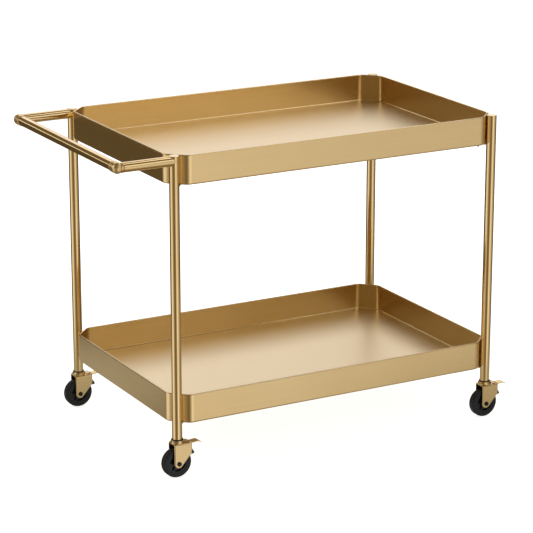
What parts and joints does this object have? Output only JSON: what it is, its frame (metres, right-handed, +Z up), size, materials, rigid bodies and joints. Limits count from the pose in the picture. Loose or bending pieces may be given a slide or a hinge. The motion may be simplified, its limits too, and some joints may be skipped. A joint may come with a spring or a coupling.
{
  "type": "bar cart",
  "caption": "Brass bar cart with two deep clipped-corner trays, tube posts, a push handle at one end and swivelling braked casters.",
  "frame": {"origin": "centre of the whole cart's bounding box at floor level, under the tyres", "axes": "+Z up, +X along the trays from the handle end to the far end, +Y across the trays"},
  "size_m": [1.1284, 0.6274, 0.8135],
  "materials": {
    "brass_sheet": "fine horizontally brushed satin brass",
    "brass_tube": "satin brass, drawn tube with faint lengthwise grain",
    "caster_brass": "satin brass plate on pressed steel",
    "black_rubber": "matte black rubber",
    "black_plastic": "matte moulded black plastic",
    "blackened_steel": "black oxide steel",
    "zinc_steel": "zinc plated steel"
  },
  "bodies": {
    "root": {"top_tray": "brass_sheet", "bottom_tray": "brass_sheet", "post_front_left": "brass_tube", "post_front_right": "brass_tube", "post_back_left": "brass_tube", "post_back_right": "brass_tube", "post_caps": "brass_tube", "stem_sockets": "black_plastic", "corner_tabs": "brass_tube", "tray_studs": "zinc_steel", "tray_nuts": "zinc_steel", "handle_crossbar": "brass_tube", "handle_rod_front": "brass_tube", "handle_rod_back": "brass_tube", "handle_corner_front": "brass_tube", "handle_corner_back": "brass_tube", "caster_stem_front_left": "caster_brass", "caster_stem_front_right": "caster_brass", "caster_stem_back_left": "caster_brass", "caster_stem_back_right": "caster_brass"},
    "swivel_front_left": {"caster_fork_front_left": "caster_brass", "axle_bolt_front_left": "blackened_steel", "axle_nut_front_left": "blackened_steel", "axle_spacer_front_left": "zinc_steel", "brake_pin_front_left": "zinc_steel"},
    "wheel_front_left": {"tyre_front_left": "black_rubber", "wheel_hub_front_left": "black_plastic"},
    "brake_front_left": {"brake_pedal_front_left": "caster_brass", "brake_shoe_front_left": "black_plastic"},
    "swivel_front_right": {"caster_fork_front_right": "caster_brass", "axle_bolt_front_right": "blackened_steel", "axle_nut_front_right": "blackened_steel", "axle_spacer_front_right": "zinc_steel", "brake_pin_front_right": "zinc_steel"},
    "wheel_front_right": {"tyre_front_right": "black_rubber", "wheel_hub_front_right": "black_plastic"},
    "brake_front_right": {"brake_pedal_front_right": "caster_brass", "brake_shoe_front_right": "black_plastic"},
    "swivel_back_left": {"caster_fork_back_left": "caster_brass", "axle_bolt_back_left": "blackened_steel", "axle_nut_back_left": "blackened_steel", "axle_spacer_back_left": "zinc_steel", "brake_pin_back_left": "zinc_steel"},
    "wheel_back_left": {"tyre_back_left": "black_rubber", "wheel_hub_back_left": "black_plastic"},
    "brake_back_left": {"brake_pedal_back_left": "caster_brass", "brake_shoe_back_left": "black_plastic"},
    "swivel_back_right": {"caster_fork_back_right": "caster_brass", "axle_bolt_back_right": "blackened_steel", "axle_nut_back_right": "blackened_steel", "axle_spacer_back_right": "zinc_steel", "brake_pin_back_right": "zinc_steel"},
    "wheel_back_right": {"tyre_back_right": "black_rubber", "wheel_hub_back_right": "black_plastic"},
    "brake_back_right": {"brake_pedal_back_right": "caster_brass", "brake_shoe_back_right": "black_plastic"}
  },
  "joints": [
    {"name": "swivel_front_left", "type": "hinge", "parent": "root", "child": "swivel_front_left", "pos_m": [-0.40225, -0.2925, 0.088], "axis": [0, 0, 1], "continuous": true},
    {"name": "roll_front_left", "type": "hinge", "parent": "swivel_front_left", "child": "wheel_front_left", "pos_m": [-0.40575, -0.2925, 0.0375], "axis": [0, 1, 0], "continuous": true},
    {"name": "brake_front_left", "type": "hinge", "parent": "swivel_front_left", "child": "brake_front_left", "pos_m": [-0.37724, -0.2925, 0.078], "axis": [0, 1, 0], "range_deg": [0, 10]},
    {"name": "swivel_front_right", "type": "hinge", "parent": "root", "child": "swivel_front_right", "pos_m": [0.50275, -0.2925, 0.088], "axis": [0, 0, 1], "continuous": true},
    {"name": "roll_front_right", "type": "hinge", "parent": "swivel_front_right", "child": "wheel_front_right", "pos_m": [0.49926, -0.2925, 0.0375], "axis": [0, 1, 0], "continuous": true},
    {"name": "brake_front_right", "type": "hinge", "parent": "swivel_front_right", "child": "brake_front_right", "pos_m": [0.52775, -0.2925, 0.078], "axis": [0, 1, 0], "range_deg": [0, 10]},
    {"name": "swivel_back_left", "type": "hinge", "parent": "root", "child": "swivel_back_left", "pos_m": [-0.40225, 0.2925, 0.088], "axis": [0, 0, 1], "continuous": true},
    {"name": "roll_back_left", "type": "hinge", "parent": "swivel_back_left", "child": "wheel_back_left", "pos_m": [-0.40575, 0.2925, 0.0375], "axis": [0, 1, 0], "continuous": true},
    {"name": "brake_back_left", "type": "hinge", "parent": "swivel_back_left", "child": "brake_back_left", "pos_m": [-0.37724, 0.2925, 0.078], "axis": [0, 1, 0], "range_deg": [0, 10]},
    {"name": "swivel_back_right", "type": "hinge", "parent": "root", "child": "swivel_back_right", "pos_m": [0.50275, 0.2925, 0.088], "axis": [0, 0, 1], "continuous": true},
    {"name": "roll_back_right", "type": "hinge", "parent": "swivel_back_right", "child": "wheel_back_right", "pos_m": [0.49926, 0.2925, 0.0375], "axis": [0, 1, 0], "continuous": true},
    {"name": "brake_back_right", "type": "hinge", "parent": "swivel_back_right", "child": "brake_back_right", "pos_m": [0.52775, 0.2925, 0.078], "axis": [0, 1, 0], "range_deg": [0, 10]}
  ]
}
